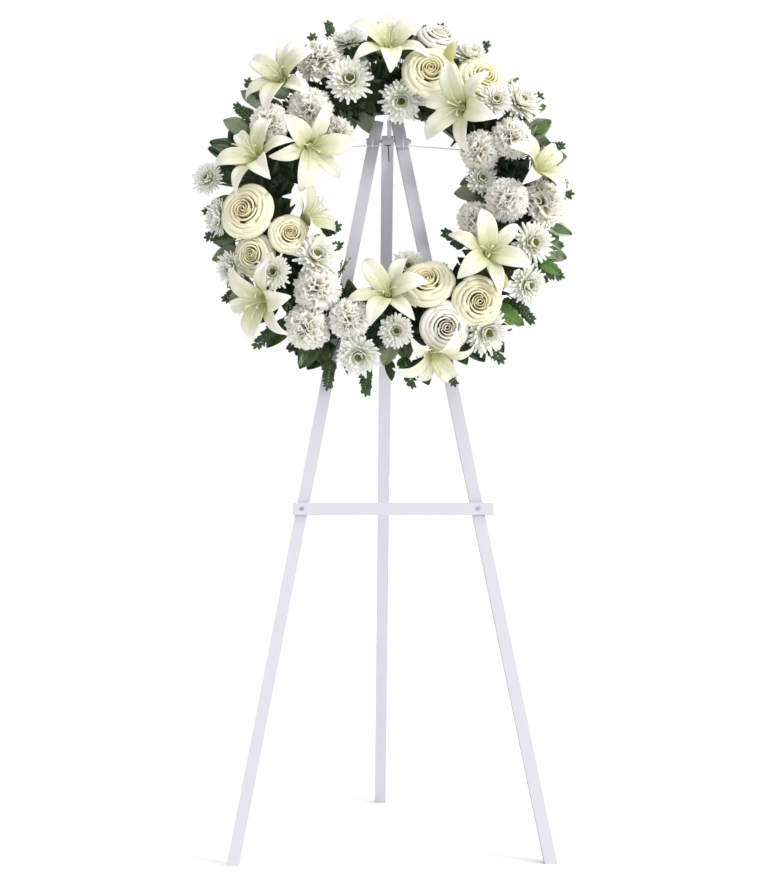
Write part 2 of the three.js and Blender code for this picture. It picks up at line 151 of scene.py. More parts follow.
class Finish:
    # one material: its tree, its main shader, and the one method that makes nodes
    def __init__(self, name, roughness=0.6, metallic=0.0, **constants):
        self.material = bpy.data.materials.new(name)
        self.material.use_nodes = True
        self.tree = self.material.node_tree
        self.tree.nodes.clear()
        self.shader = self.tree.nodes.new("ShaderNodeBsdfPrincipled")
        out = self.tree.nodes.new("ShaderNodeOutputMaterial")
        self.tree.links.new(self.shader.outputs[0], out.inputs["Surface"])
        self.shader.inputs["Roughness"].default_value = roughness
        self.shader.inputs["Metallic"].default_value = metallic
        for socket, value in constants.items():
            self.shader.inputs[socket.replace("_", " ")].default_value = value

    def node(self, kind, settings, sockets, output=0):
        node = self.tree.nodes.new(kind)
        for name, value in settings.items():
            if name == "stops":
                self.setStops(node.color_ramp, value)
            else:
                setattr(node, name, value)
        for name, value in sockets.items():
            self.plug(node.inputs[name], value)
        return Value(self, node.outputs[output])

    def setStops(self, ramp, stops):
        for index, (place, colour) in enumerate(stops):
            stop = ramp.elements[index] if index < 2 else ramp.elements.new(place)
            stop.position = place
            stop.color = (*colour, 1)

    def plug(self, socket, value):
        if isinstance(value, Value):
            self.tree.links.new(value.socket, socket)
        elif isinstance(value, tuple) and len(value) == 3 and socket.type == "RGBA":
            socket.default_value = (*value, 1)
        else:
            socket.default_value = value

    def attribute(self, name):
        return self.node("ShaderNodeAttribute", {"attribute_name": name}, {}, "Fac")

    def place(self, scale=(1, 1, 1)):
        coords = self.node("ShaderNodeTexCoord", {}, {}, "Object")
        return self.node("ShaderNodeMapping", {}, {"Vector": coords, "Scale": scale})

    def noise(self, scale, detail=3.0, rough=0.5, vector=None):
        return self.node("ShaderNodeTexNoise", {}, {"Vector": vector or self.place(), "Scale": scale,
                                                    "Detail": detail, "Roughness": rough})

    def cells(self, scale, feature="F1"):
        return self.node("ShaderNodeTexVoronoi", {"feature": feature}, {"Vector": self.place(), "Scale": scale},
                         "Distance")

    def ramp(self, value, stops):
        return self.node("ShaderNodeValToRGB", {"stops": stops}, {"Fac": value}, "Color")

    def blendColour(self, share, first, second, blend="MIX"):
        return self.node("ShaderNodeMix", {"data_type": "RGBA", "blend_type": blend},
                         {"Factor": share, 6: first, 7: second}, 2)

    def bump(self, height, strength, depth):
        normal = self.node("ShaderNodeBump", {}, {"Height": height, "Strength": strength, "Distance": depth})
        self.plug(self.shader.inputs["Normal"], normal)

    def colour(self, value):
        self.plug(self.shader.inputs["Base Color"], value)

    def roughness(self, value):
        self.plug(self.shader.inputs["Roughness"], value)



def floorPaper():
    paper = Finish("floor_paper", roughness=0.9)
    speck = paper.noise(3.0)
    paper.colour(paper.ramp(speck, [(0.0, (0.93, 0.93, 0.93)), (1.0, (0.96, 0.96, 0.96))]))
    return paper.material


paintLook = {"light": (0.62, 0.615, 0.68), "shade": (0.50, 0.50, 0.57), "grain": 0.4}


def paintedWood(name, grainScale):
    # white paint over softwood: the grain runs along each lath and shows faintly through
    paint = Finish(name, roughness=0.5)
    grain = paint.noise(60, 4, 0.6, paint.place(grainScale))
    mottle = paint.noise(7, 2, 0.5)
    share = (grain * 0.6 + mottle * 0.5 - 0.2).clamped()
    paint.colour(paint.blendColour(share * paintLook["grain"], paintLook["light"], paintLook["shade"]))
    paint.roughness(0.42 + grain * 0.2)
    paint.bump(grain + mottle * 0.4, 0.25, 0.0006)
    return paint.material


def whiteEnamel():
    enamel = Finish("white_enamel", roughness=0.3)
    chips = enamel.noise(420, 3, 0.7)
    worn = ((chips - 0.66) * 14).clamped()
    enamel.colour(enamel.blendColour(worn, (0.78, 0.78, 0.80), (0.34, 0.33, 0.33)))
    enamel.roughness(0.3 + worn * 0.3)
    return enamel.material


def zincSteel():
    zinc = Finish("zinc_steel", roughness=0.35, metallic=0.9)
    spangle = zinc.cells(500)
    zinc.colour(zinc.ramp(spangle, [(0.0, (0.50, 0.51, 0.53)), (1.0, (0.66, 0.67, 0.70))]))
    zinc.roughness(0.28 + spangle * 0.25)
    return zinc.material


def floristWire():
    wire = Finish("florist_wire", roughness=0.4, metallic=0.3)
    scuff = wire.noise(700, 2, 0.5)
    dark = wire.ramp(scuff, [(0.35, (0.012, 0.02, 0.012)), (0.75, (0.05, 0.06, 0.045))])
    across = wire.node("ShaderNodeSeparateXYZ", {}, {0: wire.node("ShaderNodeTexCoord", {}, {}, "Object")}, "X")
    bare = (((across + 0.001).absolute() - 0.004) * 400).clamped()
    wire.colour(wire.blendColour(bare, dark, (0.80, 0.80, 0.79)))
    return wire.material


def floralFoam():
    foam = Finish("floral_foam", roughness=0.95)
    pores = foam.cells(900)
    patch = foam.noise(22, 3, 0.6)
    foam.colour(foam.ramp(pores * 0.7 + patch * 0.4, [(0.15, (0.006, 0.012, 0.005)), (0.8, (0.03, 0.055, 0.02))]))
    foam.bump(pores, 0.7, 0.0015)
    return foam.material


def trayPlastic():
    tray = Finish("tray_plastic", roughness=0.5)
    mould = tray.noise(300, 3, 0.6)
    tray.colour(tray.ramp(mould, [(0.2, (0.008, 0.02, 0.009)), (0.9, (0.018, 0.04, 0.016))]))
    tray.roughness(0.4 + mould * 0.25)
    tray.bump(mould, 0.15, 0.0004)
    return tray.material


def petalFinish(name, throat, body, edge, tipTone, veins, spread=0.25, glow=0.18):
    # the colour runs from the petal's base to its tip, with fine veins along it
    petal = Finish(name, roughness=0.5, Subsurface_Weight=glow, Subsurface_Scale=0.004,
                   Subsurface_Radius=(1.0, 0.8, 0.5))
    along = petal.attribute("along")
    across = petal.attribute("across")
    tint = petal.attribute("tint")
    patch = petal.noise(55, 3, 0.5)
    run = (along + (patch - 0.5) * spread * 0.5 + (tint - 0.5) * spread).clamped()
    tone = petal.ramp(run, [(0.0, throat), (0.22, tuple(0.5 * (a + b) for a, b in zip(throat, body))),
                            (0.5, body), (1.0, tipTone)])
    rib = (1 - across.absolute()) ** 6
    line = (across * 38 + patch * 4).sine() * 0.5 + 0.5
    vein = (line * veins * (1 - run)).clamped()
    tone = petal.blendColour(vein, tone, edge)
    tone = petal.blendColour((rib * 0.35 * (1 - run)).clamped(), tone, throat)
    petal.colour(tone)
    petal.roughness(0.42 + patch * 0.25)
    petal.bump(line * 0.5 + patch, 0.35, 0.0005)
    return petal.material


def leafFinish(name, deep, light, vein, roughness, rim=None, felt=0.0, coat=0.0):
    leaf = Finish(name, roughness=roughness, Coat_Weight=coat, Coat_Roughness=0.25)
    along = leaf.attribute("along")
    across = leaf.attribute("across")
    tint = leaf.attribute("tint")
    patch = leaf.noise(45, 4, 0.6)
    tone = leaf.blendColour((patch * 0.7 + tint * 0.6 - 0.2).clamped(), deep, light)
    rib = (1 - across.absolute() * 9).clamped()
    side = ((along * 34 - across.absolute() * 9).sine() * 3 - 2).clamped() * (1 - across.absolute())
    lines = (rib + side * 0.5).clamped()
    tone = leaf.blendColour(lines * 0.6, tone, vein)
    if rim:
        edge = ((across.absolute() + patch * 0.3 - 0.78) * 9).clamped()
        tone = leaf.blendColour(edge, tone, rim)
    leaf.colour(tone)
    fuzz = leaf.noise(900, 2, 0.6)
    leaf.roughness(roughness + (patch - 0.5) * 0.2)
    leaf.bump(fuzz * felt - lines * 0.8 + patch * 0.4, 0.5, 0.0007)
    return leaf.material


def stalkFinish(name, low, high):
    stalk = Finish(name, roughness=0.5)
    streak = stalk.noise(160, 3, 0.6)
    stalk.colour(stalk.ramp(streak, [(0.25, low), (0.8, high)]))
    stalk.bump(streak, 0.3, 0.0004)
    return stalk.material


def makeFinishes():
    return {
        "lily": petalFinish("lily_petal", (0.40, 0.46, 0.10), (0.84, 0.83, 0.70), (0.62, 0.62, 0.40),
                            (0.92, 0.91, 0.85), 0.5, 0.12),
        "rose": petalFinish("rose_petal", (0.72, 0.52, 0.13), (0.88, 0.79, 0.44), (0.76, 0.66, 0.30),
                            (0.93, 0.89, 0.66), 0.15, 0.3),
        "whiteRose": petalFinish("white_rose_petal", (0.74, 0.50, 0.24), (0.87, 0.80, 0.64),
                                 (0.76, 0.67, 0.46), (0.92, 0.90, 0.82), 0.15, 0.3),
        "carnation": petalFinish("carnation_petal", (0.68, 0.54, 0.30), (0.90, 0.86, 0.72),
                                 (0.80, 0.73, 0.54), (0.96, 0.95, 0.89), 0.3, 0.3),
        "mum": petalFinish("mum_petal", (0.48, 0.55, 0.12), (0.90, 0.91, 0.80), (0.74, 0.77, 0.56),
                           (0.96, 0.96, 0.92), 0.25, 0.12),
        "mumEye": petalFinish("mum_eye", (0.10, 0.15, 0.01), (0.26, 0.32, 0.03), (0.22, 0.28, 0.03),
                              (0.52, 0.56, 0.10), 0.2, 0.3, 0.05),
        "filament": stalkFinish("lily_filament", (0.62, 0.64, 0.36), (0.80, 0.80, 0.62)),
        "stalk": stalkFinish("green_stalk", (0.035, 0.07, 0.015), (0.09, 0.15, 0.04)),
        "salal": leafFinish("salal_leaf", (0.012, 0.035, 0.008), (0.045, 0.10, 0.02), (0.10, 0.16, 0.05),
                            0.38, coat=0.25),
        "carpet": leafFinish("dark_leaf", (0.006, 0.016, 0.004), (0.025, 0.055, 0.012), (0.05, 0.09, 0.03),
                             0.5),
        "fresh": leafFinish("fresh_leaf", (0.05, 0.13, 0.02), (0.14, 0.28, 0.05), (0.22, 0.36, 0.10), 0.4),
        "sage": leafFinish("sage_leaf", (0.15, 0.19, 0.11), (0.30, 0.34, 0.23), (0.36, 0.40, 0.29), 0.8,
                           felt=1.0),
        "variegated": leafFinish("variegated_leaf", (0.06, 0.11, 0.04), (0.14, 0.20, 0.09),
                                 (0.20, 0.27, 0.14), 0.45, rim=(0.62, 0.62, 0.42)),
        "sprig": leafFinish("sprig_leaf", (0.015, 0.04, 0.01), (0.05, 0.11, 0.025), (0.08, 0.14, 0.05), 0.42),
        "seed": stalkFinish("seed_case", (0.10, 0.15, 0.05), (0.28, 0.34, 0.15)),
        "bud": petalFinish("bud_skin", (0.22, 0.32, 0.06), (0.58, 0.60, 0.26), (0.46, 0.50, 0.20),
                           (0.66, 0.66, 0.40), 0.4)
    }



layerNames = ("along", "across", "tint")


def freshMesh():
    bm = bmesh.new()
    for name in layerNames:
        bm.verts.layers.float.new(name)
    return bm


def toMesh(bm, name):
    mesh = bpy.data.meshes.new(name)
    bm.to_mesh(mesh)
    bm.free()
    return mesh


def curved(points, t):
    # a smooth curve through given points, from 0 to 1
    last = len(points) - 1
    spot = min(max(t, 0.0), 1.0) * last
    i = min(int(spot), last - 1)
    u = spot - i
    p = [Vector(points[min(max(k, 0), last)]) for k in (i - 1, i, i + 1, i + 2)]
    return 0.5 * (2 * p[1] + (p[2] - p[0]) * u + (2 * p[0] - 5 * p[1] + 4 * p[2] - p[3]) * u * u
                  + (3 * p[1] - p[0] - 3 * p[2] + p[3]) * u ** 3)


def sheetMesh(name, across, along, shape, thick, slot=0):
    # a petal or leaf: a grid shaped by a rule of (side -1 to 1, share 0 to 1), then given its thickness
    bm = freshMesh()
    bmesh.ops.create_grid(bm, x_segments=across, y_segments=along, size=1)
    alongMark, acrossMark = (bm.verts.layers.float[n] for n in ("along", "across"))
    for vert in bm.verts:
        side, share = vert.co.x, (vert.co.y + 1) / 2
        vert[alongMark], vert[acrossMark] = share, side
        vert.co = shape(side, share)
    for face in bm.faces:
        face.smooth = True
        face.material_index = slot
    bm.normal_update()
    reach = [(min(v.co[i] for v in bm.verts) - thick, max(v.co[i] for v in bm.verts) + thick) for i in range(3)]
    bmesh.ops.solidify(bm, geom=bm.faces[:], thickness=thick)
    for vert in bm.verts:
        # sharp corners may throw a point out when thickened
        vert.co = [min(max(c, low), high) for c, (low, high) in zip(vert.co, reach)]
    return toMesh(bm, name)


def addCopy(bm, mesh, matrix, tint=0.5, slot=None):
    first = len(bm.verts)
    firstFace = len(bm.faces)
    bm.from_mesh(mesh)
    bm.verts.ensure_lookup_table()
    fresh = bm.verts[first:]
    bmesh.ops.transform(bm, matrix=matrix, verts=fresh)
    mark = bm.verts.layers.float["tint"]
    for vert in fresh:
        vert[mark] = tint
    if slot is not None:
        bm.faces.ensure_lookup_table()
        for face in bm.faces[firstFace:]:
            face.material_index = slot


def wrapMesh(name, around, along, shape, slot=0, tint=0.5):
    # a closed turned form: a grid wrapped round, given a rule of (angle, share 0 to 1), then sewn up
    bm = freshMesh()
    bmesh.ops.create_grid(bm, x_segments=around, y_segments=along, size=1)
    alongMark, acrossMark, tintMark = (bm.verts.layers.float[n] for n in layerNames)
    for vert in bm.verts:
        side, share = vert.co.x, (vert.co.y + 1) / 2
        vert[alongMark], vert[acrossMark], vert[tintMark] = share, side, tint
        vert.co = shape(math.pi * side, share)
    for face in bm.faces:
        face.smooth = True
        face.material_index = slot
    bmesh.ops.remove_doubles(bm, verts=bm.verts[:], dist=1e-6)
    bmesh.ops.recalc_face_normals(bm, faces=bm.faces[:])
    return toMesh(bm, name)


def stalkMesh(route, radius, endRadius=None, sides=6, steps=8, slot=0):
    # a round stalk along a route, closed at both ends
    endRadius = radius if endRadius is None else endRadius
    aside = Vector((0.31, 0.17, 0.93))

    def shape(angle, share):
        t = min(max((share * (steps + 2) - 1) / steps, 0.0), 1.0)
        middle = curved(route, t)
        way = (curved(route, min(t + 0.02, 1.0)) - curved(route, max(t - 0.02, 0.0))).normalized()
        across = way.cross(aside).normalized()
        thick = 0.0 if share in (0.0, 1.0) else radius + (endRadius - radius) * t
        return middle + (across * math.cos(angle) + way.cross(across) * math.sin(angle)) * thick

    return wrapMesh("stalk", sides, steps + 2, shape, slot)



def ringFrame():
    # centre of the tray's back, its axes to the right, to twelve o'clock and to the viewer
    mesh = nodes["base_tray"].data
    area = {}
    for face in mesh.polygons:
        way = tuple(round(c, 2) for c in face.normal)
        area[way] = area.get(way, 0) + face.area
    back = Vector(max((w for w in area if w[1] > 0.9), key=area.get)).normalized()
    front = -back
    right = Vector((1, 0, 0))
    up = front.cross(right).normalized()
    spots = [v.co for v in mesh.vertices]
    middle = Vector()
    for axis, blend in ((right, 0.5), (up, 0.5)):
        reach = [p.dot(axis) for p in spots]
        middle += axis * (min(reach) + max(reach)) * blend
    return middle + front * min(p.dot(front) for p in spots), right, up, front


ringCentre, ringRight, ringUp, ringFront = ringFrame()
ring = {"core": 195 * mm, "depth": 27 * mm, "inset": 14 * mm, "half": 33 * mm, "front": 52 * mm}


def outwardAt(at):
    return ringRight * math.sin(math.radians(at)) + ringUp * math.cos(math.radians(at))


def ringPoint(at, reach, proud):
    return ringCentre + outwardAt(at) * reach * mm + ringFront * proud * mm


def corePoint(near):
    # the foam's middle line, nearest to a point
    flat = near - ringCentre
    flat -= ringFront * flat.dot(ringFront)
    return ringCentre + flat.normalized() * ring["core"] + ringFront * ring["depth"]


def headFrame(origin, facing, sideways):
    side = (sideways - facing * sideways.dot(facing)).normalized()
    return Matrix((side, facing.cross(side), facing)).transposed().to_4x4(), origin


def frameMatrix(origin, facing, sideways):
    turn, _ = headFrame(origin, facing, sideways)
    return Matrix.Translation(origin) @ turn


# share of the flower's width: the eye's radius, and its height above the head's base
eyeShares = {"lily": (0.022, 0.36), "rose": (0.05, 0.66), "carnation": (0.05, 0.76), "mum": (0.09, 0.27),
             "bud": (0.10, 1.02), "spray": (0.04, 0.10)}


def findEyes(node):
    # every head of the frame has one small flat regular six-sided face
    bm = bmesh.new()
    bm.from_mesh(nodes[node].data)
    bmesh.ops.remove_doubles(bm, verts=bm.verts[:], dist=2e-6)
    bmesh.ops.dissolve_limit(bm, angle_limit=math.radians(1), use_dissolve_boundaries=False,
                             verts=bm.verts[:], edges=bm.edges[:])
    eyes = []
    for face in bm.faces:
        centre = sum((v.co for v in face.verts), Vector()) / len(face.verts)
        reach = [(v.co - centre).length for v in face.verts]
        sides = [e.calc_length() for e in face.edges]
        even = max(reach) < 1.03 * min(reach) and max(sides) < 1.05 * min(sides)
        if len(face.verts) == 6 and even:
            eyes.append((centre, face.normal.copy(), max(reach), face.verts[0].co - centre))
    bm.free()
    return sorted(eyes, key=lambda eye: eye[2])


def seatOf(eye, kind):
    centre, facing, radius, corner = eye
    share, height = eyeShares[kind]
    size = radius / share
    return {"base": centre - facing * height * size, "facing": facing, "corner": corner, "size": size,
            "matrix": frameMatrix(centre - facing * height * size, facing, corner)}


def makePiece(bm, name, finishes, body="front_frame", replaces=()):
    piece = bpy.data.objects.new(name, toMesh(bm, name))
    scene.collection.objects.link(piece)
    for finish in finishes:
        piece.data.materials.append(finish)
    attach(piece, body)
    if replaces:
        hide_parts(*replaces)
    return piece


def addStem(bm, seat, radius, slot, lift=0.0):
    # from the back of the head into the foam
    base = seat["base"] + seat["facing"] * lift
    core = corePoint(base)
    tip = core + (base - core).normalized() * ring["inset"]
    back = (base - tip).length
    route = [tip, tip.lerp(base - seat["facing"] * 0.4 * back, 0.5),
             base.lerp(base - seat["facing"] * 0.4 * back, 0.5), base]
    addCopy(bm, stalkMesh(route, radius, slot=slot), Matrix())



lilyShape = {"span": 136, "inner": [(5, 8), (17, 27), (40, 39), (58, 37), (71, 27)],
             "outer": [(5, 6), (18, 21), (42, 32), (59, 29), (71, 18)], "innerWide": 35, "outerWide": 25,
             "cup": 0.20, "groove": 1.6, "wave": 1.5, "thick": 0.7}


def lilyPetal(points, wide, rng):
    wavePhase, lean, bend = rng.uniform(0, 6), rng.uniform(-0.06, 0.06), rng.uniform(-5, 4)

    def shape(side, t):
        out, up = curved([(*p, 0) for p in points], t).xy
        half = wide / 2 * max(0.07, math.sin(math.pi * (0.12 + 0.87 * t ** 0.9)))
        lift = lilyShape["cup"] * half * side * side - lilyShape["groove"] * math.exp(-(side / 0.16) ** 2) * (1 - 0.6 * t)
        lift += lilyShape["wave"] * abs(side) ** 3 * math.sin(8 * t + wavePhase + side)
        across = side * half + lean * out * t
        return Vector((out, across, up + lift + bend * t ** 3)) * mm

    return sheetMesh("petal", 8, 18, shape, lilyShape["thick"] * mm)


def lilyHead(bm, seat, rng):
    scale = Matrix.Scale(seat["size"] / (lilyShape["span"] * mm), 4)
    head = seat["matrix"] @ scale
    for i in range(6):
        inner = i % 2 == 0
        points = lilyShape["inner"] if inner else lilyShape["outer"]
        wide = lilyShape["innerWide"] if inner else lilyShape["outerWide"]
        turn = Matrix.Rotation(math.radians(30 + 60 * i + rng.uniform(-4, 4)), 4, "Z")
        addCopy(bm, lilyPetal(points, wide, rng), head @ turn, rng.random())
    for i in range(6):
        turn = Matrix.Rotation(math.radians(60 * i + rng.uniform(-9, 9)), 4, "Z")
        tilt = rng.uniform(0.85, 1.15)
        route = [Vector(p) * mm for p in ((1.5, 0, 12), (5 * tilt, 0, 30), (13 * tilt, 0, 45), (19 * tilt, 0, 52))]
        addCopy(bm, stalkMesh(route, 0.75 * mm, 0.5 * mm, slot=1), head @ turn)
        anther = [Vector(p) * mm for p in ((16 * tilt, 0, 50), (19 * tilt, 0, 53), (23 * tilt, 0, 53.5))]
        addCopy(bm, stalkMesh(anther, 0.8 * mm, 1.1 * mm, 6, 4, slot=1), head @ turn)
    style = [Vector(p) * mm for p in ((0, 0, 10), (0.6, 0, 30), (1.5, 1, 47), (2, 1.5, 56))]
    addCopy(bm, stalkMesh(style, 1.2 * mm, 0.9 * mm, slot=1), head)
    addCopy(bm, stalkMesh([style[-1], style[-1] + Vector((0, 0, 3)) * mm], 1.8 * mm, 2.2 * mm, 6, 2, 1), head)
    throat = [Vector((0, 0, 0)), Vector((0, 0, 7)) * mm, Vector((0, 0, 13)) * mm]
    addCopy(bm, stalkMesh(throat, 3.2 * mm, 6.0 * mm, 10, 4, 3), head)
    addStem(bm, seat, 2.6 * mm, 2)


def budHead(bm, seat, rng):
    size = seat["size"]
    profile = [(0.0, 0), (0.13, 0.04), (0.21, 0.30), (0.19, 0.62), (0.10, 0.9), (0.0, 1.02)]

    def shape(angle, share):
        radius, height = curved([(*p, 0) for p in profile], share).xy
        radius *= 1 + 0.09 * math.cos(3 * angle)
        radius = max(radius, 0.0) if 0.0 < share < 1.0 else 0.0
        return Vector((radius * math.cos(angle), radius * math.sin(angle), height)) * size

    addCopy(bm, wrapMesh("bud", 18, 14, shape, slot=3, tint=0.4), seat["matrix"], 0.4)
    addStem(bm, seat, 2.0 * mm, 2)



# rings of petals from the heart outwards: rim radius, rim height, petals, half width in degrees, how far the rim rolls
roseRings = [(0.045, 0.625, 2, 105, 0.00), (0.095, 0.630, 2, 100, 0.01), (0.150, 0.625, 3, 80, 0.02),
             (0.215, 0.605, 3, 78, 0.05), (0.290, 0.570, 4, 62, 0.09), (0.365, 0.520, 5, 54, 0.12),
             (0.440, 0.440, 5, 54, 0.15)]


def rosePetal(rim, height, width, roll, rng):
    tilt, ripple = rng.uniform(-0.02, 0.02), rng.uniform(0, 6)

    def shape(side, t):
        angle = math.radians(width) * side
        belly = math.sin(math.pi * min(t, 0.8) / 1.6) ** 0.8
        radius = 0.05 * (1 - t) + rim * belly * 1.02
        rolled = max(0.0, t - 0.72) / 0.28
        radius += roll * rolled ** 1.6 * (1 - 0.3 * side * side) + 0.042 * side * min(1, rim * 5) * t
        drop = 0.10 * abs(side) ** 3.5 * height
        rise = height * (1 - (1 - t) ** 1.7) - drop * t - roll * 0.75 * rolled ** 3
        rise += 0.006 * math.sin(4 * side + ripple) * t + tilt * t
        return Vector((radius * math.cos(angle), radius * math.sin(angle), rise))

    return sheetMesh("petal", 10, 9, shape, 0.011)


def roseHead(rng):
    bm = freshMesh()
    for k, (rim, height, count, width, roll) in enumerate(roseRings):
        for i in range(count):
            turn = Matrix.Rotation(math.tau * i / count + k * goldenTurn + rng.uniform(-0.1, 0.1), 4, "Z")
            depth = k / (len(roseRings) - 1)
            addCopy(bm, rosePetal(rim, height + rng.uniform(-0.008, 0.008), width, roll, rng), turn,
                    0.15 + 0.75 * depth + rng.uniform(-0.05, 0.05))
    for i in range(5):
        def sepal(side, t):
            wide = 0.07 * math.sin(math.pi * (0.12 + 0.86 * t))
            return Vector((0.06 + 0.24 * t, side * wide, 0.03 + 0.16 * t * t))
        addCopy(bm, sheetMesh("sepal", 3, 5, sepal, 0.012, 1), Matrix.Rotation(math.tau * i / 5, 4, "Z"))
    return toMesh(bm, "rose_head")



carnationShape = {"petals": 46, "length": 0.41, "wide": 0.46, "ruffle": 0.075, "teeth": 0.026, "base": 0.30,
                  "fall": 108}


def carnationPetal(rng):
    phase, curl = rng.uniform(0, 6), rng.uniform(0.7, 1.3)

    def shape(side, t):
        spread = 0.06 + 0.94 * t ** 1.2
        tooth = carnationShape["teeth"] * (1 if round(side * 7) % 2 else -1) * t ** 6
        length = carnationShape["length"] * t * (1 - 0.13 * side * side) + tooth
        across = carnationShape["wide"] / 2 * side * spread
        wave = carnationShape["ruffle"] * curl * t ** 2.2 * math.sin(5.2 * side + phase)
        wave += 0.35 * carnationShape["ruffle"] * t ** 4 * math.sin(13 * side + 2 * phase)
        return Vector((wave, across, length))

    return sheetMesh("petal", 12, 4, shape, 0.010)


def carnationHead(rng):
    bm = freshMesh()
    petals = [carnationPetal(rng) for _ in range(6)]
    count = carnationShape["petals"]
    for i in range(count):
        share = (i + 0.5) / count
        fall = math.radians(carnationShape["fall"]) * share ** 0.62
        turn = Matrix.Rotation(i * goldenTurn, 4, "Z") @ Matrix.Rotation(fall, 4, "Y")
        twist = Matrix.Rotation(rng.uniform(-0.9, 0.9) * (1 - 0.6 * share), 4, "Z")
        grow = Matrix.Scale(0.92 + 0.22 * share + rng.uniform(-0.06, 0.05), 4)
        lift = Matrix.Translation((0, 0, carnationShape["base"] + 0.02 * (1 - share)))
        addCopy(bm, petals[i % 6], lift @ turn @ twist @ grow, 0.2 + 0.6 * share + rng.uniform(-0.15, 0.15))
    cup = [(0.0, 0), (0.06, 0.01), (0.085, 0.14), (0.10, 0.30), (0.0, 0.36)]

    def calyx(angle, share):
        radius, height = curved([(*p, 0) for p in cup], share).xy
        radius = 0.0 if share in (0.0, 1.0) else max(radius, 0.0)
        return Vector((radius * math.cos(angle), radius * math.sin(angle), height))

    addCopy(bm, wrapMesh("calyx", 12, 8, calyx, slot=1), Matrix())
    return toMesh(bm, "carnation_head")



# layers of petals from the outside in: count, length, start radius, rise of the start in degrees, curl inwards
mumLayers = [(22, 0.44, 0.055, 6, 0.02), (22, 0.43, 0.055, 17, 0.05), (20, 0.38, 0.05, 29, 0.07),
             (16, 0.30, 0.045, 41, 0.08), (12, 0.20, 0.045, 50, 0.05)]


def mumPetal(curl, rng):
    tip = rng.uniform(0.9, 1.1)

    def shape(side, t):
        half = 0.046 * math.sin(math.pi * (0.14 + 0.72 * t)) ** 0.7 * (1 if t < 0.9 else 0.86)
        spoon = 0.026 * side * side * (0.5 + 0.5 * t)
        return Vector((t * tip, side * half / 0.44, spoon + curl * t ** 2.2 - 0.05 * t))

    return sheetMesh("petal", 3, 5, shape, 0.012)


def mumHead(rng):
    bm = freshMesh()
    for layer, (count, length, start, rise, curl) in enumerate(mumLayers):
        petals = [mumPetal(curl / length, rng) for _ in range(3)]
        for i in range(count):
            turn = Matrix.Rotation(math.tau * (i + 0.5 * (layer % 2)) / count + rng.uniform(-0.06, 0.06), 4, "Z")
            up = Matrix.Rotation(-math.radians(rise + rng.uniform(-5, 5)), 4, "Y")
            place = Matrix.Translation((start, 0, 0.075 + 0.014 * layer))
            grow = length * rng.uniform(0.92, 1.06)
            size = Matrix.Diagonal((grow, 0.44, 0.44, 1))
            addCopy(bm, petals[i % 3], turn @ place @ up @ size, 0.35 + 0.4 * rng.random())
    for i in range(46):
        share = (i + 0.5) / 46
        reach = 0.100 * math.sqrt(share)
        angle = i * goldenTurn
        foot = Vector((reach * math.cos(angle), reach * math.sin(angle), 0.12))
        top = foot + Vector((foot.x * 0.5, foot.y * 0.5, 0.16 - 0.06 * share))
        addCopy(bm, stalkMesh([foot, foot.lerp(top, 0.5), top], 0.012, 0.009, 5, 3, slot=1), Matrix(),
                0.3 + 0.5 * share)
    cup = [(0.0, 0), (0.09, 0.01), (0.15, 0.05), (0.10, 0.11), (0.0, 0.12)]

    def calyx(angle, share):
        radius, height = curved([(*p, 0) for p in cup], share).xy
        radius = 0.0 if share in (0.0, 1.0) else max(radius, 0.0)
        return Vector((radius * math.cos(angle), radius * math.sin(angle), height))

    addCopy(bm, wrapMesh("calyx", 12, 8, calyx, slot=2), Matrix())
    return toMesh(bm, "mum_head")
# the foliage: clock angle and reach on the ring, in degrees and millimetres
def leafMesh(long, wide, shape="oval", cup=0.15, bend=0.12, fine=(4, 8), slot=0, wave=0.0, teeth=0.0):
    # a leaf lying along local +Y with its face to +Z, folded a little along its midrib
    def rule(side, t):
        if shape == "oval":
            half = math.sin(math.pi * (0.04 + 0.94 * t)) ** 0.8
        elif shape == "heart":
            half = math.sin(math.pi * (0.10 + 0.89 * t) ** 0.8) ** 0.75
        elif shape == "spoon":
            half = math.sin(math.pi * (0.05 + 0.90 * t) ** 1.6) ** 0.7
        else:
            half = math.sin(math.pi * (0.05 + 0.94 * t) ** 0.7) ** 1.1
        half = max(half, 0.05) * wide / 2
        half += teeth * wide * (1 if round(t * fine[1]) % 2 else -1) * abs(side) ** 3
        lift = cup * wide * (abs(side) - 0.5) + wave * wide * math.sin(9 * t + 2 * side) * abs(side) ** 2
        droop = -bend * long * t * t
        return Vector((side * half, long * t, lift + droop + bend * 0.5 * long * t))

    return sheetMesh("leaf", fine[0], fine[1], rule, 0.6 * mm, slot)


def leafMatrix(foot, along, facing, scale=1.0):
    # local +Y runs along the leaf and local +Z is the side that is seen
    along = along.normalized()
    facing = (facing - along * facing.dot(along)).normalized()
    turn = Matrix((along.cross(facing), along, facing)).transposed().to_4x4()
    return Matrix.Translation(foot) @ turn @ Matrix.Scale(scale, 4)


def anyWay(rng):
    return Vector((rng.uniform(-1, 1), rng.uniform(-1, 1), rng.uniform(-1, 1)))


def tiltedFacing(out, rng, lean):
    return (ringFront + out * lean + anyWay(rng) * 0.35).normalized()


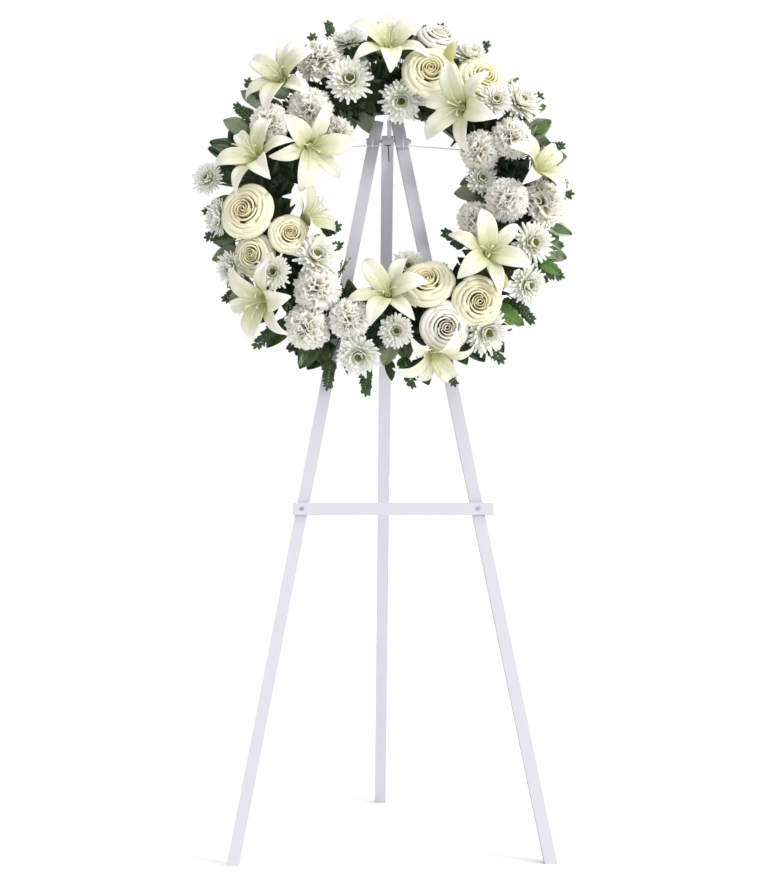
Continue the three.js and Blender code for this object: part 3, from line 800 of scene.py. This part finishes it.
foliage = {
    "sage": [(348, 257, 48), (346, 127, 62), (326, 229, 46), (309, 304, 44), (289, 277, 46), (62, 280, 48),
             (83, 108, 42), (108, 285, 50), (237, 300, 46), (252, 297, 44), (179, 267, 46), (4, 301, 34),
             (72, 300, 52), (298, 300, 44), (318, 285, 44)],
    "salal": [(345, 301, 54), (358, 301, 52), (288, 305, 50), (35, 296, 54), (203, 299, 58), (220, 304, 54),
              (150, 296, 54), (170, 300, 46), (330, 300, 46), (266, 300, 46)],
    "variegated": [(13, 310, 50), (24, 281, 44), (46, 299, 48), (97, 300, 44), (101, 276, 38)],
    "sprig": [(342, 318, 44), (18, 314, 44), (30, 316, 40), (52, 308, 44), (88, 294, 40), (312, 306, 40),
              (280, 294, 40), (240, 304, 44), (200, 316, 44), (146, 312, 42), (115, 300, 40), (325, 310, 46), (337, 305, 50), (355, 302, 46), (270, 294, 42), (259, 295, 42), (222, 315, 48),
              (188, 310, 46), (175, 299, 46), (162, 310, 50), (119, 101, 40), (247, 90, 44), (128, 297, 48),
              (82, 286, 44), (235, 103, 42), (302, 293, 46), (14, 290, 40), (70, 297, 40)],
    "seed": [(333, 150, 20), (271, 210, 18), (214, 122, 20), (141, 135, 20), (223, 237, 18), (82, 181, 18)],
    "fresh": [(136, 294, 56), (112, 300, 40), (55, 306, 42)]
}


def tipAndRoot(at, reach, long, proud):
    # where a leaf's tip lies, which way is outward, and the foot of the leaf
    inward = reach < 195
    tip = ringPoint(at, reach, proud)
    out = outwardAt(at) * (-1 if inward else 1)
    return tip, out, tip - out * long * mm


def addLeafStalk(bm, foot, radius, slot):
    core = corePoint(foot)
    start = core + (foot - core).normalized() * ring["inset"]
    middle = start.lerp(foot, 0.55) - ringFront * 4 * mm
    addCopy(bm, stalkMesh([start, middle, foot], radius, radius * 0.8, 5, 5, slot=slot), Matrix())


def bigLeaves(name, entries, shape, wideShare, finishName, rng, finishes, proud=34, extra=2, **looks):
    # each entry is a small group of leaves round one stalk, the first leaf out to the place given
    bm = freshMesh()
    for at, reach, long in entries:
        for k in range(1 + extra):
            spot = at + (0 if k == 0 else (8 if k % 2 else -8) * rng.uniform(0.6, 1.3))
            far = reach - (0 if k == 0 else rng.uniform(6, 20)) * (1 if reach > 195 else -1)
            size = long * (1 if k == 0 else rng.uniform(0.65, 0.9))
            tip, out, foot = tipAndRoot(spot, far, size * 0.96, proud + rng.uniform(-8, 6) - 7 * k)
            swing = out + ringFront.cross(out) * rng.uniform(-0.35, 0.35)
            mesh = leafMesh(size * mm, size * wideShare * rng.uniform(0.9, 1.1) * mm, shape,
                            bend=rng.uniform(0.05, 0.25), **looks)
            addCopy(bm, mesh, leafMatrix(foot, swing, tiltedFacing(out, rng, -0.2)), rng.random())
            addLeafStalk(bm, foot, 1.1 * mm, 1)
    return makePiece(bm, name, [finishes[finishName], finishes["stalk"]])


def sprigs(name, entries, rng, finishes):
    # fine twigs with small paired leaves
    bm = freshMesh()
    leaves = [leafMesh(15 * mm, 7.5 * mm, "oval", bend=b, fine=(2, 4)) for b in (0.05, 0.2, 0.3)]
    for at, reach, long in entries:
        tip, out, foot = tipAndRoot(at, reach, long, 28 + rng.uniform(-8, 10))
        side = ringFront.cross(out)
        bend = rng.uniform(-0.25, 0.25)
        tip += side * bend * long * mm
        addLeafStalk(bm, foot, 0.9 * mm, 1)
        addCopy(bm, stalkMesh([foot, foot.lerp(tip, 0.5) - side * bend * 0.2 * long * mm, tip], 0.9 * mm,
                              0.5 * mm, 5, 5, slot=1), Matrix())
        count = int(long / 4.5)
        for i in range(count):
            share = (i + 0.5) / count
            spot = foot.lerp(tip, share)
            for hand in (-1, 1):
                along = out * rng.uniform(0.5, 0.9) + side * hand * rng.uniform(0.6, 1.0)
                size = (1.1 - 0.45 * share) * rng.uniform(0.8, 1.1)
                addCopy(bm, rng.choice(leaves), leafMatrix(spot, along, tiltedFacing(out, rng, -0.2), size),
                        rng.random())
        addCopy(bm, leaves[0], leafMatrix(tip - out * 2 * mm, out, ringFront, 0.7), rng.random())
    return makePiece(bm, name, [finishes["sprig"], finishes["stalk"]])


def seedClusters(name, entries, rng, finishes):
    bm = freshMesh()

    def drop(angle, share):
        radius = 0.0 if share in (0.0, 1.0) else math.sin(math.pi * share) ** 0.8 * (1 - 0.3 * share)
        return Vector((radius * math.cos(angle) * 0.4, radius * math.sin(angle) * 0.4, share * 1.1 - 0.55))

    case = wrapMesh("seed", 6, 5, drop)
    for at, reach, long in entries:
        tip, out, foot = tipAndRoot(at, reach, long, 52)
        addLeafStalk(bm, foot, 1.0 * mm, 1)
        for i in range(26):
            spread = Vector((rng.gauss(0, 1), rng.gauss(0, 1), rng.gauss(0, 1))).normalized()
            spot = foot.lerp(tip, rng.random()) + spread * rng.uniform(3, 0.45 * long) * mm
            turn = (spot - foot.lerp(tip, 0.3)).to_track_quat("Z", "Y").to_matrix().to_4x4()
            addCopy(bm, case, Matrix.Translation(spot) @ turn @ Matrix.Scale(rng.uniform(3.2, 5) * mm, 4),
                    rng.random())
            addCopy(bm, stalkMesh([foot, foot.lerp(spot, 0.5) + out * mm, spot], 0.4 * mm, 0.4 * mm, 3, 2, slot=1),
                    Matrix())
    return makePiece(bm, name, [finishes["seed"], finishes["stalk"]])


carpetLook = {"leaves": 520, "long": (24, 42)}


def leafCarpet(rng, finishes):
    # the dark greens that fill between the flowers, standing on the foam all round
    bm = freshMesh()
    leaves = [leafMesh(30 * mm, 30 * wide * mm, form, bend=bend, fine=(2, 5))
              for form, wide, bend in (("oval", 0.45, 0.1), ("heart", 0.6, 0.2), ("lance", 0.3, 0.3))]
    for i in range(carpetLook["leaves"]):
        at = i * 137.5
        turn = math.radians(rng.uniform(-75, 112))
        out = outwardAt(at)
        off = out * math.sin(turn) + ringFront * math.cos(turn)
        core = ringCentre + out * ring["core"] + ringFront * ring["depth"]
        foot = core + off * 22 * mm
        along = off + ringFront.cross(out) * rng.uniform(-1.1, 1.1) + out * rng.uniform(-0.4, 0.4)
        size = rng.uniform(*carpetLook["long"]) / 30
        facing = off * 0.6 + ringFront + anyWay(rng) * 0.6
        addCopy(bm, rng.choice(leaves), leafMatrix(foot, along, facing, size), rng.random())
    return makePiece(bm, "leaf_carpet", [finishes["carpet"], finishes["stalk"]])


def spraySeat(node):
    eye = findEyes(node)[0]
    seat = seatOf(eye, "spray")
    spots = [v.co for v in nodes[node].data.vertices]
    core = corePoint(seat["base"])
    tip = max((p for p in spots if (p - core).length > (seat["base"] - core).length), default=seat["base"],
              key=lambda p: (p - seat["base"]).length)
    along = tip - seat["base"]
    return seat["base"], along.normalized(), eye[1], seat["size"]


def leafSpray(node, shape, wideShare, finish, rng, finishes, **looks):
    # three fanned leaves and a pair of small ones on one stem
    base, along, facing, size = spraySeat(node)
    bm = freshMesh()
    side = facing.cross(along)
    for angle, share, drop in ((0, 1.0, 0), (50, 0.86, 0.004), (-46, 0.88, 0.006), (82, 0.55, 0.009), (-86, 0.5, 0.01)):
        turned = along * math.cos(math.radians(angle)) + side * math.sin(math.radians(angle))
        mesh = leafMesh(size * share, size * share * wideShare, shape, bend=rng.uniform(0.05, 0.2), **looks)
        out = facing + anyWay(rng) * 0.2
        addCopy(bm, mesh, leafMatrix(base - facing * drop, turned, out), rng.random())
    core = corePoint(base)
    start = core + (base - core).normalized() * ring["inset"]
    addCopy(bm, stalkMesh([start, start.lerp(base, 0.6), base], 1.8 * mm, 1.4 * mm, slot=1), Matrix())
    return makePiece(bm, node + "_leaves", [finishes[finish], finishes["stalk"]], replaces=[node])


def nodesCalled(kind):
    return sorted((n for n in nodes if n.startswith(kind + "_")), key=lambda n: int(n.rsplit("_", 1)[1]))


extraMums = [(165, 112, 46, 58, 6), (77, 152, 52, 58, 8), (277, 288, 44, 56, 30)]
warmRoses = ("rose_3", "rose_8")


def buildFlowers(finishes):
    rng = random.Random(7)
    for node in nodesCalled("lily"):
        bm = freshMesh()
        for eye in findEyes(node):
            if eye[2] > 0.0035:
                budHead(bm, seatOf(eye, "bud"), rng)
            else:
                lilyHead(bm, seatOf(eye, "lily"), rng)
        makePiece(bm, node + "_bloom", [finishes[f] for f in ("lily", "filament", "stalk", "bud")],
                  replaces=[node])
    print("lilies", len(nodesCalled("lily")))
    for kind, head, stem, keys in (("rose", roseHead, 2.5, ("rose", "stalk")),
                                   ("carnation", carnationHead, 2.2, ("carnation", "stalk")),
                                   ("mum", mumHead, 2.0, ("mum", "mumEye", "stalk"))):
        heads = [head(rng) for _ in range(3)]
        for k, node in enumerate(nodesCalled(kind)):
            bm = freshMesh()
            for eye in findEyes(node):
                seat = seatOf(eye, kind)
                turn = Matrix.Rotation(rng.uniform(0, math.tau), 4, "Z")
                addHead(bm, heads[k % 3], seat["matrix"] @ turn @ Matrix.Scale(seat["size"], 4))
                addStem(bm, seat, stem * mm, len(keys) - 1, lift=2 * mm)
            skin = [finishes["whiteRose" if node in warmRoses and f == "rose" else f] for f in keys]
            makePiece(bm, node + "_bloom", skin, replaces=[node])
        if kind == "mum":
            bm = freshMesh()
            for at, reach, proud, size, lean in extraMums:
                facing = (ringFront + outwardAt(at) * math.tan(math.radians(lean))).normalized()
                base = ringPoint(at, reach, proud)
                seat = {"base": base, "facing": facing, "corner": ringUp, "size": size * mm,
                        "matrix": frameMatrix(base, facing, ringUp)}
                addHead(bm, heads[0], seat["matrix"] @ Matrix.Scale(seat["size"], 4))
                addStem(bm, seat, stem * mm, 2, lift=2 * mm)
            makePiece(bm, "small_mums", [finishes[f] for f in keys])
        print(kind, len(nodesCalled(kind)))


def addHead(bm, mesh, matrix):
    # a whole flower, its own tints kept
    first = len(bm.verts)
    bm.from_mesh(mesh)
    bm.verts.ensure_lookup_table()
    bmesh.ops.transform(bm, matrix=matrix, verts=bm.verts[first:])


def buildFoliage(finishes):
    rng = random.Random(11)
    leafCarpet(rng, finishes)
    bigLeaves("sage_leaves", foliage["sage"], "heart", 0.72, "sage", rng, finishes, wave=0.05)
    bigLeaves("salal_leaves", foliage["salal"], "heart", 0.62, "salal", rng, finishes, proud=24)
    bigLeaves("variegated_leaves", foliage["variegated"], "oval", 0.46, "variegated", rng, finishes, wave=0.08)
    bigLeaves("fresh_leaves", foliage["fresh"], "heart", 0.6, "fresh", rng, finishes, teeth=0.05)
    sprigs("leafy_sprigs", foliage["sprig"], rng, finishes)
    seedClusters("seed_clusters", foliage["seed"], rng, finishes)
    for node in nodesCalled("salal_spray"):
        leafSpray(node, "heart", 0.62, "salal", rng, finishes)
    for node in nodesCalled("sage_spray"):
        leafSpray(node, "heart", 0.7, "sage", rng, finishes, wave=0.05)
    print("foliage done")


# procedural finishes for the solids that stay: node name start, then finish
def dressSolids():
    laths, bar = paintedWood("painted_lath", (14, 14, 0.7)), paintedWood("painted_bar", (0.7, 14, 14))
    enamel, zinc = whiteEnamel(), zincSteel()
    wire, foam, tray = floristWire(), floralFoam(), trayPlastic()
    for start, finish in (("front_leg", laths), ("rear_leg", laths), ("crossbar", bar), ("crossbar_screw", zinc),
                          ("screw_hook", enamel), ("pivot", zinc), ("hanging_wire", wire), ("foam_ring", foam),
                          ("base_tray", tray)):
        for name, node in nodes.items():
            if name.startswith(start):
                for index in range(len(node.data.materials)):
                    node.data.materials[index] = finish


print("frame loaded", len(nodes), "nodes")
setCamera()
setStage()
dressSolids()
finishes = makeFinishes()
buildFlowers(finishes)
buildFoliage(finishes)
scene.view_settings.view_transform = "Standard"
